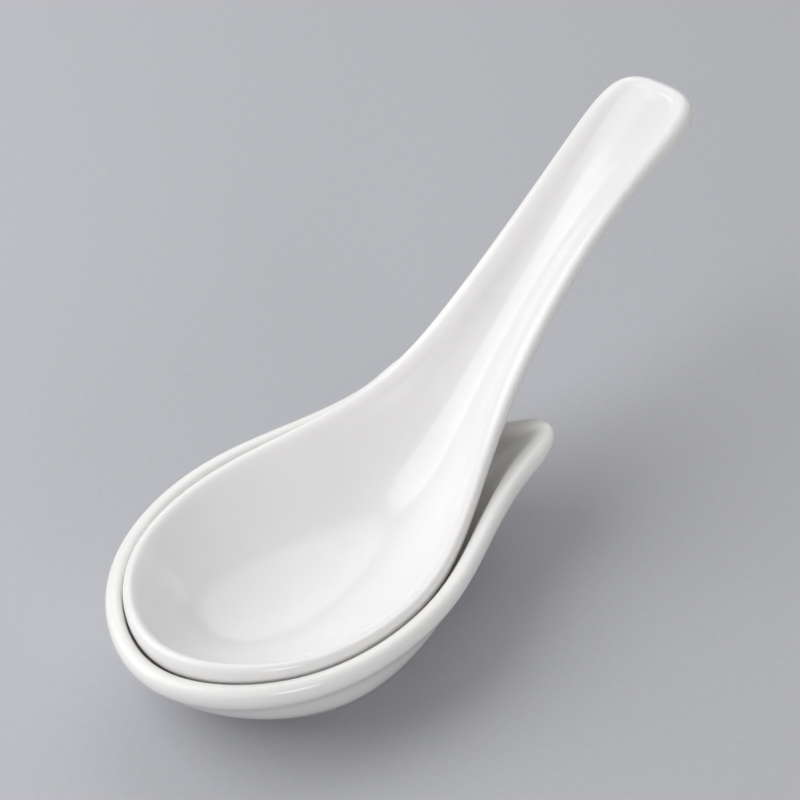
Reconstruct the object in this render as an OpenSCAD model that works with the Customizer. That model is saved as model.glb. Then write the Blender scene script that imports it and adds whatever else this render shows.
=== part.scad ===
// Glazed porcelain soup spoon lying in its matching spoon rest.
// Both pieces are smooth shells: closed loops that run round the rim are blended across the wall,
// from the middle of the underside, over the rim, to the middle of the hollow.
// The origin is the centre of the rest's foot on the table, +X runs along the handle and +Z is up.

/* [Spoon] */
// Length of the spoon, seen from above
spoon_len = 126.8; // [118:0.2:137]
// Length of the bowl, from its tip to the neck
bowl_len = 66.4; // [62:0.2:71]
// Width of the bowl over its rim
bowl_w = 45; // [41:0.5:49]
// Depth of the bowl below the top of its rim
bowl_depth = 11; // [9.5:0.25:12.5]
// Thickness of the bowl's floor
bowl_floor_t = 3; // [2.5:0.1:3.6]
// Thickness of the bowl's rim
bowl_rim_t = 2.3; // [2:0.1:2.5]
// Width of the handle at its narrowest
handle_w = 15; // [13:0.25:18]
// Width of the handle at its end
handle_end_w = 18; // [15:0.25:20]
// Thickness of the handle's edges
handle_rim_t = 1.7; // [1.4:0.1:2.1]
// Thickness of the handle along its middle
handle_t = 3.9; // [3.4:0.1:4.6]
// Depth of the groove along the handle
groove_depth = 2.2; // [1.6:0.1:2.8]
// Width of the rounded shoulder inside the bowl's rim
bowl_shoulder_w = 1.6; // [1.2:0.1:2.2]
// Width of the rounded shoulder on each side of the groove
handle_shoulder_w = 3; // [2.2:0.1:3.6]
// Height of the spoon, from the underside of its bowl to the end of its handle
spoon_h = 51.6; // [45:0.2:57]
// How far the end of the handle turns down on its underside
end_drop = 2; // [1.2:0.1:2.6]
// How far the turned end stands out past the rim
end_flare = 1.3; // [0.6:0.1:1.8]

/* [Rest] */
// Thickness of the rest's rim
rest_rim_t = 3; // [2.6:0.1:3.4]
// Height of the rest's floor above the table
rest_floor_t = 3.9; // [3.3:0.1:4.5]
// Length of the lip under the handle, past the part that follows the bowl
lip_len = 22.4; // [20:0.2:28]
// Width of the lip
lip_w = 33.4; // [30:0.2:36]
// Rise of the lip's corners above the rim at the tip
lip_rise = 4.8; // [3.6:0.1:6]
// Dip in the middle of the lip's end
lip_dip = 4.7; // [3.6:0.1:5.8]
// Width of the rounded shoulder inside the lip's edge
lip_shoulder_w = 4; // [3:0.1:5]
// Length of the foot
foot_len = 50; // [45:0.5:54]
// Width of the foot
foot_w = 34.9; // [31:0.1:37]
// Height of the foot
foot_h = 1.2; // [0.9:0.1:2]
// Bevel round the bottom of the foot
foot_bevel = 0.4; // [0.2:0.1:0.7]

/* [Fit] */
// Gap between the spoon and the rest, round the rim
nest_gap = 0.35; // [0.35:0.05:0.8]
// Gap between the spoon and the rest's floor
seat_gap = 0.35; // [0.3:0.05:0.6]
// How far the spoon's rim stands above the rest's rim at the tip
rim_step = 1.95; // [1.8:0.05:2.7]
// How far the spoon lies towards the tip of the rest
nest_shift = 0.5; // [0.2:0.05:0.5]
// Distance from the foot's centre to the tip of the spoon
tip_reach = 36.8; // [34:0.2:39.4]

/* [Hidden] */

// Steps in each span of a loop, and in each span across the wall
loop_steps = 4;
wall_steps = 3;

// Rows of the spoon from the tip to the end of the handle. Each row holds shares:
// place along the spoon (up to 1 in the bowl, from 1 to 2 in the handle), place of its middle line,
// width from handle to bowl, rise of the rim, depth from groove to bowl, and turn of the end.
spoon_row_shares = [
    [0.000, 0.36, 0.00, 0.016, 1.00, 0.0],
    [0.125, 0.38, 0.65, 0.005, 1.00, 0.0],
    [0.350, 0.45, 1.03, 0.000, 1.00, 0.0],
    [0.580, 0.58, 1.01, 0.005, 1.00, 0.0],
    [0.800, 0.80, 0.62, 0.050, 0.95, 0.0],
    [1.000, 1.00, 0.25, 0.168, 0.62, 0.0],
    [1.200, 1.20, 0.08, 0.388, 0.28, 0.0],
    [1.450, 1.45, 0.00, 0.642, 0.06, 0.0],
    [1.730, 1.71, 0.00, 0.864, 0.00, 0.0],
    [1.950, 1.87, 0.00, 1.000, 0.00, 0.7],
    [2.000, 1.90, 0.00, 0.993, 0.00, 1.0],
];
// How much of the end's extra width each spoon row takes
end_width_shares = [0, 0, 0, 0, 0, 0, 0, 0, 0.2, 0.95, 0];
// How much of the groove's depth, and of its shoulder's width, each spoon row takes
groove_shares = [1, 1, 1, 1, 1, 1, 1, 1, 0.78, 1.02, 0.58];
shoulder_shares = [1, 1, 1, 1, 1, 1, 1, 1, 1, 0.9, 0.8];
// How steeply the groove of each spoon row climbs to the edge
groove_powers = [2, 2, 2, 2, 2, 2, 2, 2, 2, 1.5, 1.2];

// Rows of the rest that follow the spoon's bowl: rise of the rim, and rise of the floor
nest_row_shares = [
    [0.00, 0.00],
    [0.06, 0.00],
    [0.22, 0.00],
    [0.36, 0.00],
    [0.46, 0.08],
];
// Rows of the lip: place, place of its middle line, width, rise of the rim, rise of the floor,
// thickness of the edge, and slope of its shoulder
lip_row_shares = [
    [0.60, 0.45, 0.99, 0.54, 0.42, 0.90, 0.72],
    [0.96, 0.64, 1.04, 0.94, 0.67, 0.80, 0.54],
    [0.98, 0.74, 0.76, 1.25, 0.81, 0.55, 0.35],
    [1.00, 0.80, 0.00, 1.00, 0.90, 0.42, 0.16],
];
// Place of each rest row round the oval foot, in degrees from the lip
foot_angles = [180, 150, 122, 95, 68, 47, 31, 17, 0];
// How steeply the outside and the hollow of each rest row climb to the rim
body_powers = [1.6, 1.8, 1.8, 1.1, 0.9, 0.85, 1.0, 1.7, 1.7];
nest_powers = [2.5, 2.5, 2.5, 2.5, 2.5, 2.4, 2.1, 1.5, 1];
// How far the outside of each rest row is tucked in under the roll
tuck_shares = [0.3, 0.5, 1, 1, 0.8, 0.4, 0, 0, 0];

// Places between the middle line and the edge, across the hollow and across the outside
hollow_shares = [0, 0.38, 0.70, 0.90];
body_shares = [0, 0.30, 0.60];
// Last place across the outside, below the rim; and its place and rise where it is tucked in
wall_share = 0.85;
tuck_place_share = 0.76;
tuck_rise_share = 0.90;
// Shape of a round edge, in shares of its thickness: half width, height of its top, drop of its side,
// and drop of the side that hangs over the outside of the rest
edge_side_share = 0.5;
edge_top_share = 0.56;
edge_drop_share = 0.9;
under_drop_share = 0.5;
// Place of the top of a shoulder, in shares of its width
spoon_top_share = 0.35;
nest_top_share = 1.3;
lip_top_share = 0.5;
// Slope of a shoulder, in shares of its width
bowl_slope_share = 0.95;
handle_slope_share = 0.37;
nest_slope_share = 2.9;
// How much of the turn of the handle's end its upper edge takes
roll_share = 0.5;
// Height that the rest's floor climbs to at the lip, above the middle of the edge, in shares of the
// rim's thickness
lip_floor_share = 0.3;
// Extra width of the foot's control points, so that the smooth oval keeps its full width
foot_width_share = 1.022;
// How much wider the oval foot is towards the tip, and narrower towards the lip
foot_egg_share = 0.2;
// Length of the base's middle line, as a share of the foot
base_line_share = 0.5;
// How steeply the bowl's hollow climbs to the edge
bowl_power = 2.5;

handle_len = spoon_len - bowl_len;
handle_rise = spoon_h - bowl_floor_t - bowl_depth;
spoon_base_z = rest_floor_t + seat_gap;
spoon_top_z = spoon_base_z + bowl_floor_t + bowl_depth;
spoon_rim_z = spoon_top_z - bowl_rim_t / 2;
bowl_half = (bowl_w - bowl_rim_t) / 2;
handle_half = (handle_w - handle_rim_t) / 2;
end_half = (handle_end_w - handle_w) / 2;
nest_offset = bowl_rim_t / 2 + nest_gap + rest_rim_t / 2;
rest_rim_z = spoon_top_z - rim_step - rest_rim_t / 2;
lip_top_z = rest_rim_z + lip_rise;
lip_end_z = lip_top_z - lip_dip;
lip_half = (lip_w - rest_rim_t) / 2;
floor_rise = lip_end_z + lip_floor_share * rest_rim_t - rest_floor_t;

// Blending along uniform cubic splines

// Weights of four neighbouring control values at u, which runs from 0 to 1 between the middle two
function span_weights(u) = [
    pow(1 - u, 3),
    3 * pow(u, 3) - 6 * pow(u, 2) + 4,
    3 * (u + pow(u, 2) - pow(u, 3)) + 1,
    pow(u, 3)
] / 6;

// Blend of four control values, which are points or lists of points
function blend(weights, a, b, c, d) =
    weights[0] * a + weights[1] * b + weights[2] * c + weights[3] * d;

function mix(low, high, share) = low + (high - low) * share;
function flip(p) = [p.x, -p.y, p.z];
function flip_row(row) = [for (p = row) flip(p)];

// Control row on the middle line that makes the smooth loop pass through the given row there
function through(row, next) = [
    for (k = [0:len(row) - 1])
    (3 * row[k] - (next[k] + flip(next[k])) / 2) / 2
];

// Closed list from the rows of one side, whose first and last lie on the middle line
function both_sides(rows) =
    let (end = len(rows) - 1)
    concat(
        [through(rows[0], rows[1])],
        [for (i = [1:end - 1]) rows[i]],
        [through(rows[end], rows[end - 1])],
        [for (i = [end - 1:-1:1]) flip_row(rows[i])]
    );

// Smooth closed loop of rows
function smooth_loop(rows) =
    let (n = len(rows))
    [
        for (i = [0:n - 1])
        for (k = [0:loop_steps - 1])
        let (after = [for (j = [0:2]) rows[(i + j) % n]])
        blend(span_weights(k / loop_steps), rows[(i + n - 1) % n], after[0], after[1], after[2])
    ];

// Smooth open curve drawn by control points, given the points beyond its two ends
function smooth_curve(points, before, after) =
    let (all = concat([before], points, [after]))
    let (spans = len(points) - 1)
    concat(
        [
            for (i = [0:spans - 1])
            for (k = [0:wall_steps - 1])
            blend(span_weights(k / wall_steps), all[i], all[i + 1], all[i + 2], all[i + 3])
        ],
        [blend(span_weights(1), all[spans - 1], all[spans], all[spans + 1], all[spans + 2])]
    );

// Outward direction, seen from above, at each rim point of one side
function outward(rim, i) =
    i == 0 ? [-1, 0, 0]
    : i == len(rim) - 1 ? [1, 0, 0]
    : let (along = rim[i + 1] - rim[i - 1])
      [-along.y, along.x, 0] / norm([along.x, along.y]);

// Control points from a middle line out to an edge
function climb(middle, edge, shares, power) = [
    for (s = shares)
    [
        middle.x + (edge.x - middle.x) * s,
        middle.y + (edge.y - middle.y) * s,
        middle.z + (edge.z - middle.z) * pow(s, power)
    ]
];

// Control points over a round edge, from below its outside to the foot of its inner shoulder
function round_edge(rim, side, thickness, drop, shoulder, top_share, slope_share) =
    let (out = edge_side_share * thickness * side)
    let (top = rim + [0, 0, edge_top_share * thickness])
    [
        rim + out - [0, 0, drop],
        top + out,
        top - top_share * shoulder * side,
        top - shoulder * side - [0, 0, slope_share * shoulder]
    ];

function reversed(list) = [for (i = [len(list) - 1:-1:0]) list[i]];

// Spoon

// Place along the spoon: up to 1 in the bowl, from 1 to 2 in the handle
function spoon_x(share) =
    -tip_reach + min(share, 1) * bowl_len + max(share - 1, 0) * handle_len;

function spoon_rim_x(i) =
    let (end = len(spoon_row_shares) - 1)
    i == 0 ? -tip_reach + bowl_rim_t / 2
    : i == end ? spoon_x(spoon_row_shares[end][0]) - end_flare - handle_rim_t / 2
    : spoon_x(spoon_row_shares[i][0]);

function spoon_half(i) =
    let (end = len(spoon_row_shares) - 1)
    i == 0 || i == end ? 0
    : mix(handle_half, bowl_half, spoon_row_shares[i][2]) + end_half * end_width_shares[i];

spoon_rim = [
    for (i = [0:len(spoon_row_shares) - 1])
    [spoon_rim_x(i), spoon_half(i), spoon_rim_z + handle_rise * spoon_row_shares[i][3]]
];

// Control points of one row, from the keel over the rim to the bowl's floor
function spoon_row(i) =
    let (shares = spoon_row_shares[i])
    let (rim = spoon_rim[i])
    let (rim_t = mix(handle_rim_t, bowl_rim_t, shares[4]))
    let (side = outward(spoon_rim, i))
    let (turn = shares[5] * (end_flare * side - [0, 0, end_drop]))
    let (power = mix(groove_powers[i], bowl_power, shares[4]))
    let (floor_z = rim.z + rim_t / 2 - mix(groove_depth * groove_shares[i], bowl_depth, shares[4]))
    let (floor_point = [spoon_x(shares[1]), 0, floor_z])
    let (keel_point = floor_point + [0, 0, turn.z - mix(handle_t, bowl_floor_t, shares[4])])
    let (shoulder = mix(handle_shoulder_w * shoulder_shares[i], bowl_shoulder_w, shares[4]))
    let (slope_share = mix(handle_slope_share, bowl_slope_share, shares[4]))
    let (edge = round_edge(
        rim, side, rim_t, edge_drop_share * rim_t, shoulder, spoon_top_share, slope_share
    ))
    concat(
        climb(keel_point, edge[0] + turn, hollow_shares, power),
        [edge[0] + turn, edge[1] + roll_share * turn, edge[2], edge[3]],
        reversed(climb(floor_point, edge[3], hollow_shares, power))
    );

function spoon_section(i) =
    let (row = spoon_row(i))
    smooth_curve(row, flip(row[1]), flip(row[len(row) - 2]));

// Rest

nest_rows = len(nest_row_shares);
rest_rows = nest_rows + len(lip_row_shares);
lip_x = spoon_rim[nest_rows - 1].x + nest_offset * outward(spoon_rim, nest_rows - 1).x + nest_shift;

function rest_rim_point(i) =
    i < nest_rows
    ? let (place = spoon_rim[i] + nest_offset * outward(spoon_rim, i))
      [place.x + nest_shift, place.y, rest_rim_z + lip_rise * nest_row_shares[i][0]]
    : let (shares = lip_row_shares[i - nest_rows])
      i == rest_rows - 1
      ? [lip_x + lip_len - rest_rim_t / 2, 0, lip_end_z]
      : [lip_x + lip_len * shares[0], lip_half * shares[2], rest_rim_z + lip_rise * shares[3]];

rest_rim = [for (i = [0:rest_rows - 1]) rest_rim_point(i)];

function rest_floor_point(i) =
    i < nest_rows
    ? [spoon_x(spoon_row_shares[i][1]), 0, rest_floor_t + floor_rise * nest_row_shares[i][1]]
    : let (shares = lip_row_shares[i - nest_rows])
      [lip_x + lip_len * shares[1], 0, rest_floor_t + floor_rise * shares[4]];

// Point of the egg-shaped foot
function foot_point(i, inset, z) =
    let (angle = foot_angles[i])
    let (half_w = foot_width_share * (foot_w / 2 - inset) * (1 - foot_egg_share * cos(angle)))
    [(foot_len / 2 - inset) * cos(angle), half_w * sin(angle), z];

// Control points over the rim of one row: a full roll beside the bowl, thinner round the lip
function rest_edge(i) =
    let (rim = rest_rim[i])
    let (side = outward(rest_rim, i))
    i < nest_rows
    ? round_edge(
        rim, side, rest_rim_t, under_drop_share * rest_rim_t, rest_rim_t / 2,
        nest_top_share, nest_slope_share
    )
    : let (shares = lip_row_shares[i - nest_rows])
      let (rim_t = shares[5] * rest_rim_t)
      round_edge(
        rim, side, rim_t, under_drop_share * rim_t, shares[5] * lip_shoulder_w, lip_top_share, shares[6]
      );

// Control point of the outside just below the rim, tucked in under the roll
function under_roll(i, foot, edge) =
    let (place = mix(wall_share, tuck_place_share, tuck_shares[i]))
    let (rise = pow(mix(wall_share, tuck_rise_share, tuck_shares[i]), body_powers[i]))
    [mix(foot.x, edge.x, place), mix(foot.y, edge.y, place), mix(foot.z, edge.z, rise)];

// Points of one row, from the middle of the base over the rim to the floor
function rest_section(i) =
    let (edge = rest_edge(i))
    let (foot_top = foot_point(i, 0, foot_h))
    let (wall = climb(foot_top, edge[0], body_shares, body_powers[i]))
    let (hollow = reversed(climb(rest_floor_point(i), edge[3], hollow_shares, nest_powers[i])))
    let (row = concat(wall, [under_roll(i, foot_top, edge[0])], edge, hollow))
    concat(
        [
            [foot_len * base_line_share * (i / (rest_rows - 1) - 1 / 2), 0, 0],
            foot_point(i, foot_bevel, 0),
            foot_point(i, 0, foot_bevel)
        ],
        smooth_curve(row, 2 * row[0] - row[1], flip(row[len(row) - 2]))
    );

// Solid from the sections of one side

// Both ends of a section lie on the middle line, so the two sides share those points.
// The diagonals turn from quarter to quarter, and from the outside to the hollow, so that no triangle
// lies flat in the middle plane.
module shell(sections) {
    loop = smooth_loop(both_sides(sections));
    around = len(loop);
    last = len(loop[0]) - 1;
    seam = around / 2 + 1;
    inner_start = seam + around * (last - 1);
    points = concat(
        [for (m = [0:seam - 1]) loop[m][0]],
        [for (c = [1:last - 1]) for (m = [0:around - 1]) loop[m][c]],
        [for (m = [0:seam - 1]) loop[m][last]]
    );
    function index(c, m) =
        let (k = m % around)
        c == 0 ? min(k, around - k)
        : c == last ? inner_start + min(k, around - k)
        : seam + (c - 1) * around + k;
    faces = [
        for (c = [0:last - 1])
        for (m = [0:around - 1])
        let (near = [index(c, m), index(c, m + 1)])
        let (far = [index(c + 1, m), index(c + 1, m + 1)])
        let (turn = floor(4 * m / around) + floor(2 * c / last))
        for (face = turn % 2 == 0
            ? [[near[0], far[1], far[0]], [near[0], near[1], far[1]]]
            : [[near[0], near[1], far[0]], [near[1], far[1], far[0]]])
        if (face[0] != face[1] && face[1] != face[2] && face[2] != face[0])
        face
    ];
    polyhedron(points = points, faces = faces, convexity = 6);
}

module spoon_rest() {
    color("whitesmoke")
    shell([for (i = [0:rest_rows - 1]) rest_section(i)]);
}

module spoon() {
    color("white")
    shell([for (i = [0:len(spoon_row_shares) - 1]) spoon_section(i)]);
}

spoon_rest();
spoon();
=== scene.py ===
"""Porcelain soup spoon lying in its matching rest, dressed for the photograph's view.

Both pieces repeat the smooth shells of the CAD source at a finer step, in metres, in the CAD frame.
"""

import math

import bpy
import numpy as np
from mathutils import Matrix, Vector


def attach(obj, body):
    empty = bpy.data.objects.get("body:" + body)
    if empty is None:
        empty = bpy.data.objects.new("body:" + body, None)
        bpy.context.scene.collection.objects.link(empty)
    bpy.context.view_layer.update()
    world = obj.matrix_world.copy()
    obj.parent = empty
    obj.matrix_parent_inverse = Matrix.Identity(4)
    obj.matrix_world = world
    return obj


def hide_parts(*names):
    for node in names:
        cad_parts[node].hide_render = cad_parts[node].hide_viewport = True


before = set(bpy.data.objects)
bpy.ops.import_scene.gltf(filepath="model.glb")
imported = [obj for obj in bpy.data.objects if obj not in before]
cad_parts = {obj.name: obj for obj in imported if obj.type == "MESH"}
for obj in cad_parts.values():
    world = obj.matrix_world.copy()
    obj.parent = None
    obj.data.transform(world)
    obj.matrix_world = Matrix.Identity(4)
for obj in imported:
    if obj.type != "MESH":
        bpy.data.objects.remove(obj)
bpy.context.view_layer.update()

MM = 0.001

# Sizes of the spoon
SPOON_LEN = 126.8 * MM
BOWL_LEN = 66.4 * MM
BOWL_W = 45 * MM
BOWL_DEPTH = 11 * MM
BOWL_FLOOR_T = 3 * MM
BOWL_RIM_T = 2.3 * MM
HANDLE_W = 15 * MM
HANDLE_END_W = 18 * MM
HANDLE_RIM_T = 1.7 * MM
HANDLE_T = 3.9 * MM
GROOVE_DEPTH = 2.2 * MM
BOWL_SHOULDER_W = 1.6 * MM
HANDLE_SHOULDER_W = 3 * MM
HANDLE_RISE = 37.6 * MM
END_DROP = 2 * MM
END_FLARE = 1.3 * MM

# Sizes of the rest
REST_RIM_T = 3 * MM
REST_FLOOR_T = 3.9 * MM
LIP_LEN = 22.4 * MM
LIP_W = 33.4 * MM
LIP_RISE = 4.8 * MM
LIP_DIP = 4.7 * MM
LIP_SHOULDER_W = 4 * MM
FOOT_LEN = 50 * MM
FOOT_W = 34.9 * MM
FOOT_H = 1.2 * MM
FOOT_BEVEL = 0.4 * MM

# Fit of the spoon in the rest
NEST_GAP = 0.35 * MM
SEAT_GAP = 0.35 * MM
RIM_STEP = 1.95 * MM
NEST_SHIFT = 0.5 * MM
TIP_REACH = 36.8 * MM

# Steps in each span of a loop, and in each span across the wall
LOOP_STEPS = 16
WALL_STEPS = 8

# Rows of the spoon: place, place of the middle line, width, rim rise, depth, turn of the end
SPOON_ROW_SHARES = [
    [0.000, 0.36, 0.00, 0.016, 1.00, 0.0],
    [0.125, 0.38, 0.65, 0.005, 1.00, 0.0],
    [0.350, 0.45, 1.03, 0.000, 1.00, 0.0],
    [0.580, 0.58, 1.01, 0.005, 1.00, 0.0],
    [0.800, 0.80, 0.62, 0.050, 0.95, 0.0],
    [1.000, 1.00, 0.25, 0.168, 0.62, 0.0],
    [1.200, 1.20, 0.08, 0.388, 0.28, 0.0],
    [1.450, 1.45, 0.00, 0.642, 0.06, 0.0],
    [1.730, 1.71, 0.00, 0.864, 0.00, 0.0],
    [1.950, 1.87, 0.00, 1.000, 0.00, 0.7],
    [2.000, 1.90, 0.00, 0.993, 0.00, 1.0],
]
END_WIDTH_SHARES = [0, 0, 0, 0, 0, 0, 0, 0, 0.2, 0.95, 0]
GROOVE_SHARES = [1, 1, 1, 1, 1, 1, 1, 1, 0.78, 1.02, 0.58]
SHOULDER_SHARES = [1, 1, 1, 1, 1, 1, 1, 1, 1, 0.9, 0.8]
GROOVE_POWERS = [2, 2, 2, 2, 2, 2, 2, 2, 2, 1.5, 1.2]
# Rows of the rest that follow the bowl: rise of the rim, rise of the floor
NEST_ROW_SHARES = [[0.00, 0.00], [0.06, 0.00], [0.22, 0.00], [0.36, 0.00], [0.46, 0.08]]
# Rows of the lip: place, place of the middle line, width, rim rise, floor rise, thickness of the edge,
# and slope of its shoulder
LIP_ROW_SHARES = [
    [0.60, 0.45, 0.99, 0.54, 0.42, 0.90, 0.72],
    [0.96, 0.64, 1.04, 0.94, 0.67, 0.80, 0.54],
    [0.98, 0.74, 0.76, 1.25, 0.81, 0.55, 0.35],
    [1.00, 0.80, 0.00, 1.00, 0.90, 0.42, 0.16],
]
FOOT_ANGLES = [180, 150, 122, 95, 68, 47, 31, 17, 0]
BODY_POWERS = [1.6, 1.8, 1.8, 1.1, 0.9, 0.85, 1.0, 1.7, 1.7]
TUCK_SHARES = [0.3, 0.5, 1, 1, 0.8, 0.4, 0, 0, 0]
NEST_POWERS = [2.5, 2.5, 2.5, 2.5, 2.5, 2.4, 2.1, 1.5, 1]
HOLLOW_SHARES = [0, 0.38, 0.70, 0.90]
BODY_SHARES = [0, 0.30, 0.60]
EDGE_SIDE_SHARE = 0.5
EDGE_TOP_SHARE = 0.56
EDGE_DROP_SHARE = 0.9
UNDER_DROP_SHARE = 0.5
SPOON_TOP_SHARE = 0.35
NEST_TOP_SHARE = 1.3
LIP_TOP_SHARE = 0.5
BOWL_SLOPE_SHARE = 0.95
HANDLE_SLOPE_SHARE = 0.37
NEST_SLOPE_SHARE = 2.9
LIP_FLOOR_SHARE = 0.3
WALL_SHARE = 0.85
TUCK_PLACE_SHARE = 0.76
TUCK_RISE_SHARE = 0.90
FOOT_WIDTH_SHARE = 1.022
FOOT_EGG_SHARE = 0.2
BASE_LINE_SHARE = 0.5
BOWL_POWER = 2.5
ROLL_SHARE = 0.5

HANDLE_LEN = SPOON_LEN - BOWL_LEN
SPOON_TOP_Z = REST_FLOOR_T + SEAT_GAP + BOWL_FLOOR_T + BOWL_DEPTH
SPOON_RIM_Z = SPOON_TOP_Z - BOWL_RIM_T / 2
BOWL_HALF = (BOWL_W - BOWL_RIM_T) / 2
HANDLE_HALF = (HANDLE_W - HANDLE_RIM_T) / 2
END_HALF = (HANDLE_END_W - HANDLE_W) / 2
NEST_OFFSET = BOWL_RIM_T / 2 + NEST_GAP + REST_RIM_T / 2
REST_RIM_Z = SPOON_TOP_Z - RIM_STEP - REST_RIM_T / 2
LIP_TOP_Z = REST_RIM_Z + LIP_RISE
LIP_END_Z = LIP_TOP_Z - LIP_DIP
LIP_HALF = (LIP_W - REST_RIM_T) / 2
FLOOR_RISE = LIP_END_Z + LIP_FLOOR_SHARE * REST_RIM_T - REST_FLOOR_T
UP = np.array([0, 0, 1])


# Blending along uniform cubic splines

def mix(low, high, share):
    return low + (high - low) * share


def flip(points):
    return np.asarray(points) * [1, -1, 1]


def span_weights(u):
    return np.array([
        (1 - u) ** 3,
        3 * u ** 3 - 6 * u ** 2 + 4,
        3 * (u + u ** 2 - u ** 3) + 1,
        u ** 3,
    ]) / 6


def through(row, beside):
    """Control row on the middle line that makes the smooth loop pass through the given row there."""
    return (3 * row - (beside + flip(beside)) / 2) / 2


def smooth_loop(rows):
    """Smooth closed loop from the rows of one side, whose first and last lie on the middle line."""
    rows = [np.asarray(r) for r in rows]
    first = through(rows[0], rows[1])
    last = through(rows[-1], rows[-2])
    closed = [first] + rows[1:-1] + [last] + [flip(r) for r in rows[-2:0:-1]]
    n = len(closed)
    return np.array([
        sum(w * closed[(i + j - 1) % n] for j, w in enumerate(span_weights(k / LOOP_STEPS)))
        for i in range(n)
        for k in range(LOOP_STEPS)
    ])


def smooth_curve(points, before, after):
    """Smooth open curve drawn by control points, given the points beyond its two ends."""
    every = [before] + list(points) + [after]
    spans = len(points) - 1
    places = [(i, k / WALL_STEPS) for i in range(spans) for k in range(WALL_STEPS)] + [(spans - 1, 1)]
    return [sum(w * every[i + j] for j, w in enumerate(span_weights(u))) for i, u in places]


def outward(rim, i):
    """Outward direction, seen from above, at each rim point of one side."""
    if i == 0:
        return np.array([-1, 0, 0])
    if i == len(rim) - 1:
        return np.array([1, 0, 0])
    along = rim[i + 1] - rim[i - 1]
    return np.array([-along[1], along[0], 0]) / math.hypot(along[0], along[1])


def climb(middle, edge, shares, power):
    """Control points from a middle line out to an edge."""
    return [middle + (edge - middle) * [s, s, s ** power] for s in shares]


def round_edge(rim, side, thickness, drop, shoulder, top_share, slope_share):
    """Control points over a round edge, from below its outside to the foot of its inner shoulder."""
    out = EDGE_SIDE_SHARE * thickness * side
    top = rim + EDGE_TOP_SHARE * thickness * UP
    return [
        rim + out - drop * UP,
        top + out,
        top - top_share * shoulder * side,
        top - shoulder * side - slope_share * shoulder * UP,
    ]


# Spoon

def spoon_x(share):
    """Place along the spoon: 0 is the bowl's tip, 1 its end at the handle, 2 the handle's end."""
    return -TIP_REACH + min(share, 1) * BOWL_LEN + max(share - 1, 0) * HANDLE_LEN


def spoon_rim_point(i):
    """Middle of the rim's thickness at one row."""
    place, _, width, rise, _, _ = SPOON_ROW_SHARES[i]
    z = SPOON_RIM_Z + HANDLE_RISE * rise
    if i == 0:
        return np.array([-TIP_REACH + BOWL_RIM_T / 2, 0, z])
    if i == len(SPOON_ROW_SHARES) - 1:
        return np.array([spoon_x(2) - END_FLARE - HANDLE_RIM_T / 2, 0, z])
    half = mix(HANDLE_HALF, BOWL_HALF, width) + END_HALF * END_WIDTH_SHARES[i]
    return np.array([spoon_x(place), half, z])


SPOON_RIM = [spoon_rim_point(i) for i in range(len(SPOON_ROW_SHARES))]


def spoon_section(i):
    """Points of one row, from the keel over the rim to the bowl's floor."""
    _, middle, _, _, deep, turned = SPOON_ROW_SHARES[i]
    rim = SPOON_RIM[i]
    rim_t = mix(HANDLE_RIM_T, BOWL_RIM_T, deep)
    side = outward(SPOON_RIM, i)
    turn = turned * (END_FLARE * side - END_DROP * UP)
    power = mix(GROOVE_POWERS[i], BOWL_POWER, deep)
    floor_z = rim[2] + rim_t / 2 - mix(GROOVE_DEPTH * GROOVE_SHARES[i], BOWL_DEPTH, deep)
    floor_point = np.array([spoon_x(middle), 0, floor_z])
    keel_point = floor_point + (turn[2] - mix(HANDLE_T, BOWL_FLOOR_T, deep)) * UP
    shoulder = mix(HANDLE_SHOULDER_W * SHOULDER_SHARES[i], BOWL_SHOULDER_W, deep)
    slope_share = mix(HANDLE_SLOPE_SHARE, BOWL_SLOPE_SHARE, deep)
    edge = round_edge(rim, side, rim_t, EDGE_DROP_SHARE * rim_t, shoulder, SPOON_TOP_SHARE, slope_share)
    edge[0] = edge[0] + turn
    edge[1] = edge[1] + ROLL_SHARE * turn
    keel = climb(keel_point, edge[0], HOLLOW_SHARES, power)
    hollow = climb(floor_point, edge[3], HOLLOW_SHARES, power)
    row = keel + edge + hollow[::-1]
    return smooth_curve(row, flip(row[1]), flip(row[-2]))


# Rest

NEST_ROWS = len(NEST_ROW_SHARES)
REST_ROWS = NEST_ROWS + len(LIP_ROW_SHARES)
LIP_X = SPOON_RIM[NEST_ROWS - 1][0] + NEST_OFFSET * outward(SPOON_RIM, NEST_ROWS - 1)[0] + NEST_SHIFT


def rest_rim_point(i):
    """Middle of the rim's thickness at one row."""
    if i < NEST_ROWS:
        rim_rise, _ = NEST_ROW_SHARES[i]
        x, y, _ = SPOON_RIM[i] + NEST_OFFSET * outward(SPOON_RIM, i)
        return np.array([x + NEST_SHIFT, y, REST_RIM_Z + LIP_RISE * rim_rise])
    if i == REST_ROWS - 1:
        return np.array([LIP_X + LIP_LEN - REST_RIM_T / 2, 0, LIP_END_Z])
    place, _, width, rim_rise, *_ = LIP_ROW_SHARES[i - NEST_ROWS]
    return np.array([LIP_X + LIP_LEN * place, LIP_HALF * width, REST_RIM_Z + LIP_RISE * rim_rise])


REST_RIM = [rest_rim_point(i) for i in range(REST_ROWS)]


def rest_floor_point(i):
    """Point of the hollow's floor on the middle line at one row."""
    if i < NEST_ROWS:
        _, floor_rise = NEST_ROW_SHARES[i]
        _, middle, *_ = SPOON_ROW_SHARES[i]
        return np.array([spoon_x(middle), 0, REST_FLOOR_T + FLOOR_RISE * floor_rise])
    _, middle, _, _, floor_rise, *_ = LIP_ROW_SHARES[i - NEST_ROWS]
    return np.array([LIP_X + LIP_LEN * middle, 0, REST_FLOOR_T + FLOOR_RISE * floor_rise])


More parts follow.
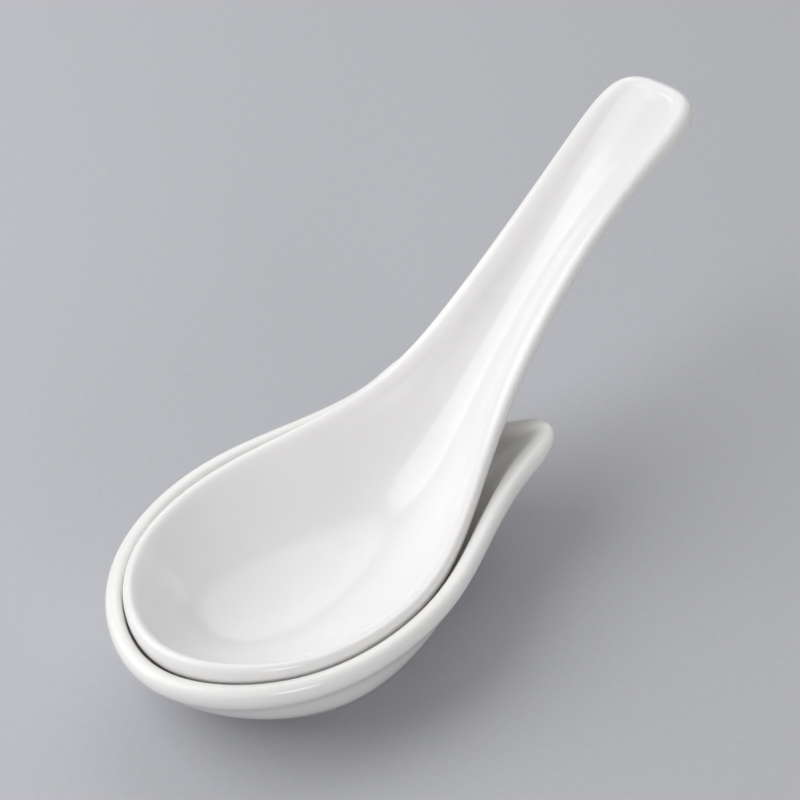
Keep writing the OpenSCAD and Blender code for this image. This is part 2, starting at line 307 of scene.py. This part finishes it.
def foot_point(i, inset, z):
    """Point of the egg-shaped foot."""
    angle = math.radians(FOOT_ANGLES[i])
    half_w = FOOT_WIDTH_SHARE * (FOOT_W / 2 - inset) * (1 - FOOT_EGG_SHARE * math.cos(angle))
    across = 0 if i in (0, REST_ROWS - 1) else half_w * math.sin(angle)
    return np.array([(FOOT_LEN / 2 - inset) * math.cos(angle), across, z])


def under_roll(i, foot_top, edge):
    """Control point of the outside just below the rim, tucked in under the roll."""
    place = mix(WALL_SHARE, TUCK_PLACE_SHARE, TUCK_SHARES[i])
    rise = mix(WALL_SHARE, TUCK_RISE_SHARE, TUCK_SHARES[i]) ** BODY_POWERS[i]
    return foot_top + (edge - foot_top) * [place, place, rise]


def rest_section(i):
    """Points of one row, from the middle of the base over the rim to the floor."""
    foot_top = foot_point(i, 0, FOOT_H)
    side = outward(REST_RIM, i)
    if i < NEST_ROWS:
        edge = round_edge(REST_RIM[i], side, REST_RIM_T, UNDER_DROP_SHARE * REST_RIM_T,
                          REST_RIM_T / 2, NEST_TOP_SHARE, NEST_SLOPE_SHARE)
    else:
        *_, thick_share, slope_share = LIP_ROW_SHARES[i - NEST_ROWS]
        rim_t = thick_share * REST_RIM_T
        edge = round_edge(REST_RIM[i], side, rim_t, UNDER_DROP_SHARE * rim_t,
                          thick_share * LIP_SHOULDER_W, LIP_TOP_SHARE, slope_share)
    body = climb(foot_top, edge[0], BODY_SHARES, BODY_POWERS[i]) + [under_roll(i, foot_top, edge[0])]
    hollow = climb(rest_floor_point(i), edge[3], HOLLOW_SHARES, NEST_POWERS[i])
    row = body + edge + hollow[::-1]
    base_x = FOOT_LEN * BASE_LINE_SHARE * (i / (REST_ROWS - 1) - 1 / 2)
    foot = [np.array([base_x, 0, 0]), foot_point(i, FOOT_BEVEL, 0), foot_point(i, 0, FOOT_BEVEL)]
    return foot + smooth_curve(row, 2 * row[0] - row[1], flip(row[-2]))


# Meshes

def shell(name, sections, bare_columns=0):
    """Closed quad mesh from the sections of one side, with the second material on its first columns."""
    loop = smooth_loop(sections)
    around, across = loop.shape[:2]
    seam = around // 2 + 1
    inner_start = seam + around * (across - 2)
    points = np.concatenate([
        loop[:seam, 0],
        loop[:, 1:-1].transpose(1, 0, 2).reshape(-1, 3),
        loop[:seam, -1],
    ])

    def index(c, m):
        k = m % around
        if c == 0:
            return min(k, around - k)
        if c == across - 1:
            return inner_start + min(k, around - k)
        return seam + (c - 1) * around + k

    faces = []
    material_slots = []
    for c in range(across - 1):
        for m in range(around):
            corners = [index(c, m), index(c, m + 1), index(c + 1, m + 1), index(c + 1, m)]
            faces.append(list(dict.fromkeys(corners)))
            material_slots.append(int(c < bare_columns))
    mesh = bpy.data.meshes.new(name)
    mesh.from_pydata(points.tolist(), [], faces)
    mesh.polygons.foreach_set("use_smooth", [True] * len(faces))
    mesh.polygons.foreach_set("material_index", material_slots)
    mesh.validate()
    piece = bpy.data.objects.new(name, mesh)
    bpy.context.scene.collection.objects.link(piece)
    return piece


# Materials: two tones of each, scales of their patterns in cells to the metre

REST_GLAZE_TONES = [(0.822, 0.817, 0.80), (0.847, 0.842, 0.825)]
SPOON_GLAZE_TONES = [(0.819, 0.810, 0.811), (0.844, 0.834, 0.836)]
CLAY_TONES = [(0.70, 0.66, 0.59), (0.80, 0.77, 0.71)]
PAPER_TONES = [(0.468, 0.473, 0.502), (0.488, 0.493, 0.522)]
SPECK_TONE = (0.58, 0.53, 0.46)
WHITE = (1, 1, 1)
BLACK = (0, 0, 0)
DRIFT_SCALE = 45
SPECK_SCALE = 60
SPECK_INNER = 0.006
SPECK_OUTER = 0.013
GLOSS_SCALE = 160
GLOSS_LOW = 0.13
GLOSS_HIGH = 0.17
GLAZE_WAVE_SCALE = 130
GLAZE_WAVE_H = 0.3 * MM
GLAZE_IOR = 1.5
GLAZE_GLOW = 0.4
GLAZE_GLOW_REACH = 3 * MM
GLAZE_GLOW_TINT = (1, 0.85, 0.7)
CLAY_GRAIN_SCALE = 2200
CLAY_GRAIN_H = 0.05 * MM
PAPER_GRAIN_SCALE = 900


def new_material(name):
    material = bpy.data.materials.new(name)
    material.use_nodes = True
    nodes = material.node_tree.nodes
    return material, nodes, material.node_tree.links, nodes["Principled BSDF"]


def noise(nodes, links, place, scale, detail):
    node = nodes.new("ShaderNodeTexNoise")
    node.inputs["Scale"].default_value = scale
    node.inputs["Detail"].default_value = detail
    links.new(place, node.inputs["Vector"])
    return node.outputs["Fac"]


def ramp(nodes, links, value, stops):
    """Colours blended between stops, each a place and a colour."""
    node = nodes.new("ShaderNodeValToRGB")
    elements = node.color_ramp.elements
    while len(elements) < len(stops):
        elements.new(0.5)
    for element, (place, colour) in zip(elements, stops):
        element.position = place
        element.color = (*colour, 1)
    links.new(value, node.inputs["Fac"])
    return node.outputs["Color"]


def bump(nodes, links, shader, height, strength, distance):
    """Raises the shader's surface by a pattern."""
    node = nodes.new("ShaderNodeBump")
    node.inputs["Strength"].default_value = strength
    node.inputs["Distance"].default_value = distance
    links.new(height, node.inputs["Height"])
    links.new(node.outputs["Normal"], shader.inputs["Normal"])


def grey(level):
    return (level, level, level)


def porcelain(name, tones):
    """White glaze: slow drift of tone, faint waves in the gloss, and a few tiny iron specks."""
    material, nodes, links, shader = new_material(name)
    place = nodes.new("ShaderNodeTexCoord").outputs["Object"]
    drift = noise(nodes, links, place, DRIFT_SCALE, 2)
    tone = ramp(nodes, links, drift, [(0.35, tones[0]), (0.65, tones[1])])
    cells = nodes.new("ShaderNodeTexVoronoi")
    cells.inputs["Scale"].default_value = SPECK_SCALE
    links.new(place, cells.inputs["Vector"])
    spot = ramp(nodes, links, cells.outputs["Distance"], [(SPECK_INNER, WHITE), (SPECK_OUTER, BLACK)])
    specks = nodes.new("ShaderNodeMix")
    specks.data_type = "RGBA"
    links.new(spot, specks.inputs["Factor"])
    links.new(tone, specks.inputs["A"])
    specks.inputs["B"].default_value = (*SPECK_TONE, 1)
    links.new(specks.outputs["Result"], shader.inputs["Base Color"])
    sheen = noise(nodes, links, place, GLOSS_SCALE, 3)
    gloss = ramp(nodes, links, sheen, [(0.3, grey(GLOSS_LOW)), (0.7, grey(GLOSS_HIGH))])
    links.new(gloss, shader.inputs["Roughness"])
    bump(nodes, links, shader, noise(nodes, links, place, GLAZE_WAVE_SCALE, 1), 0.05, GLAZE_WAVE_H)
    shader.inputs["IOR"].default_value = GLAZE_IOR
    shader.inputs["Subsurface Weight"].default_value = GLAZE_GLOW
    shader.inputs["Subsurface Radius"].default_value = GLAZE_GLOW_TINT
    shader.inputs["Subsurface Scale"].default_value = GLAZE_GLOW_REACH
    return material


def bare_clay():
    """Unglazed porcelain of the foot: warm, dull and finely grained."""
    material, nodes, links, shader = new_material("bare_clay")
    place = nodes.new("ShaderNodeTexCoord").outputs["Object"]
    grain = noise(nodes, links, place, CLAY_GRAIN_SCALE, 4)
    colour = ramp(nodes, links, grain, [(0.3, CLAY_TONES[0]), (0.7, CLAY_TONES[1])])
    links.new(colour, shader.inputs["Base Color"])
    shader.inputs["Roughness"].default_value = 0.8
    bump(nodes, links, shader, grain, 0.25, CLAY_GRAIN_H)
    return material


def floor_paper():
    """Matt grey studio paper."""
    material, nodes, links, shader = new_material("floor_paper")
    place = nodes.new("ShaderNodeTexCoord").outputs["Object"]
    grain = noise(nodes, links, place, PAPER_GRAIN_SCALE, 3)
    colour = ramp(nodes, links, grain, [(0.3, PAPER_TONES[0]), (0.7, PAPER_TONES[1])])
    links.new(colour, shader.inputs["Base Color"])
    shader.inputs["Roughness"].default_value = 0.9
    shader.inputs["Specular IOR Level"].default_value = 0.1
    return material


# Pieces

# Columns of faces on the rest's base and its bevel, which stay unglazed
BARE_COLUMNS = 2
SHARP_ANGLE = math.radians(35)

rest = shell("spoon_rest_glazed", [rest_section(i) for i in range(REST_ROWS)], BARE_COLUMNS)
rest.data.materials.append(porcelain("rest_glaze", REST_GLAZE_TONES))
rest.data.materials.append(bare_clay())
rest.data.set_sharp_from_angle(angle=SHARP_ANGLE)
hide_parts("spoon_rest")
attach(rest, "rest")

spoon = shell("spoon_glazed", [spoon_section(i) for i in range(len(SPOON_ROW_SHARES))])
spoon.data.materials.append(porcelain("spoon_glaze", SPOON_GLAZE_TONES))
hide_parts("spoon")
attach(spoon, "spoon")

# Floor

FLOOR_HALF = 4.0
FLOOR_CORNERS = [(-FLOOR_HALF, -FLOOR_HALF), (FLOOR_HALF, -FLOOR_HALF),
                 (FLOOR_HALF, FLOOR_HALF), (-FLOOR_HALF, FLOOR_HALF)]
floor_mesh = bpy.data.meshes.new("floor")
floor_mesh.from_pydata([(x, y, 0) for x, y in FLOOR_CORNERS], [], [range(len(FLOOR_CORNERS))])
floor = bpy.data.objects.new("floor", floor_mesh)
bpy.context.scene.collection.objects.link(floor)
floor.data.materials.append(floor_paper())

# Camera of the photograph: it looks along this bearing, measured from +Y towards +X, and down by the tilt

BEARING = math.radians(51.14)
TILT = math.radians(38.7)
AIM = Vector((49.61, 24.45, 0)) * MM
CAMERA_DISTANCE = 514.81 * MM
LENS = 135
SENSOR_WIDTH = 36
CLIP_START = 0.01
AHEAD = Vector((math.sin(BEARING), math.cos(BEARING), 0))
RIGHT = Vector((math.cos(BEARING), -math.sin(BEARING), 0))
LOOK = AHEAD * math.cos(TILT) - Vector((0, 0, math.sin(TILT)))

camera = bpy.data.objects.new("camera", bpy.data.cameras.new("camera"))
camera.data.lens = LENS
camera.data.sensor_width = SENSOR_WIDTH
camera.data.clip_start = CLIP_START
camera.location = AIM - LOOK * CAMERA_DISTANCE
camera.rotation_mode = "QUATERNION"
camera.rotation_quaternion = LOOK.to_track_quat("-Z", "Y")
bpy.context.scene.collection.objects.link(camera)
bpy.context.scene.camera = camera

# Lamps: bearing from straight ahead towards the left and height, in degrees, distance, size and watts

LAMPS = {
    "key": (96, 45, 0.6, 0.7, 2.9),
    "low": (70, 20, 1.2, 0.8, 0.75),
    "front": (165, 25, 1.2, 1.0, 1.25),
    "near": (200, 12, 1.2, 0.45, 3.1),
    "back": (350, 50, 1.2, 1.2, 4.5),
    "glint": (309, 21, 1.2, 0.36, 0.4),
}
WORLD_STRENGTH = 0.27


def soft_lamp(name, bearing, height, distance, size, watts):
    """Round area lamp aimed at the object."""
    turn = math.radians(bearing)
    lift = math.radians(height)
    level = AHEAD * math.cos(turn) - RIGHT * math.sin(turn)
    way = level * math.cos(lift) + Vector((0, 0, math.sin(lift)))
    lamp = bpy.data.objects.new(name, bpy.data.lights.new(name, "AREA"))
    lamp.data.shape = "DISK"
    lamp.data.size = size
    lamp.data.energy = watts
    lamp.location = AIM + way * distance
    lamp.rotation_mode = "QUATERNION"
    lamp.rotation_quaternion = (-way).to_track_quat("-Z", "Y")
    bpy.context.scene.collection.objects.link(lamp)


for lamp_name, lamp_values in LAMPS.items():
    soft_lamp(lamp_name, *lamp_values)

world = bpy.data.worlds.new("studio")
world.use_nodes = True
background = world.node_tree.nodes["Background"]
background.inputs["Color"].default_value = (*WHITE, 1)
background.inputs["Strength"].default_value = WORLD_STRENGTH
bpy.context.scene.world = world
bpy.context.scene.view_settings.view_transform = "Standard"
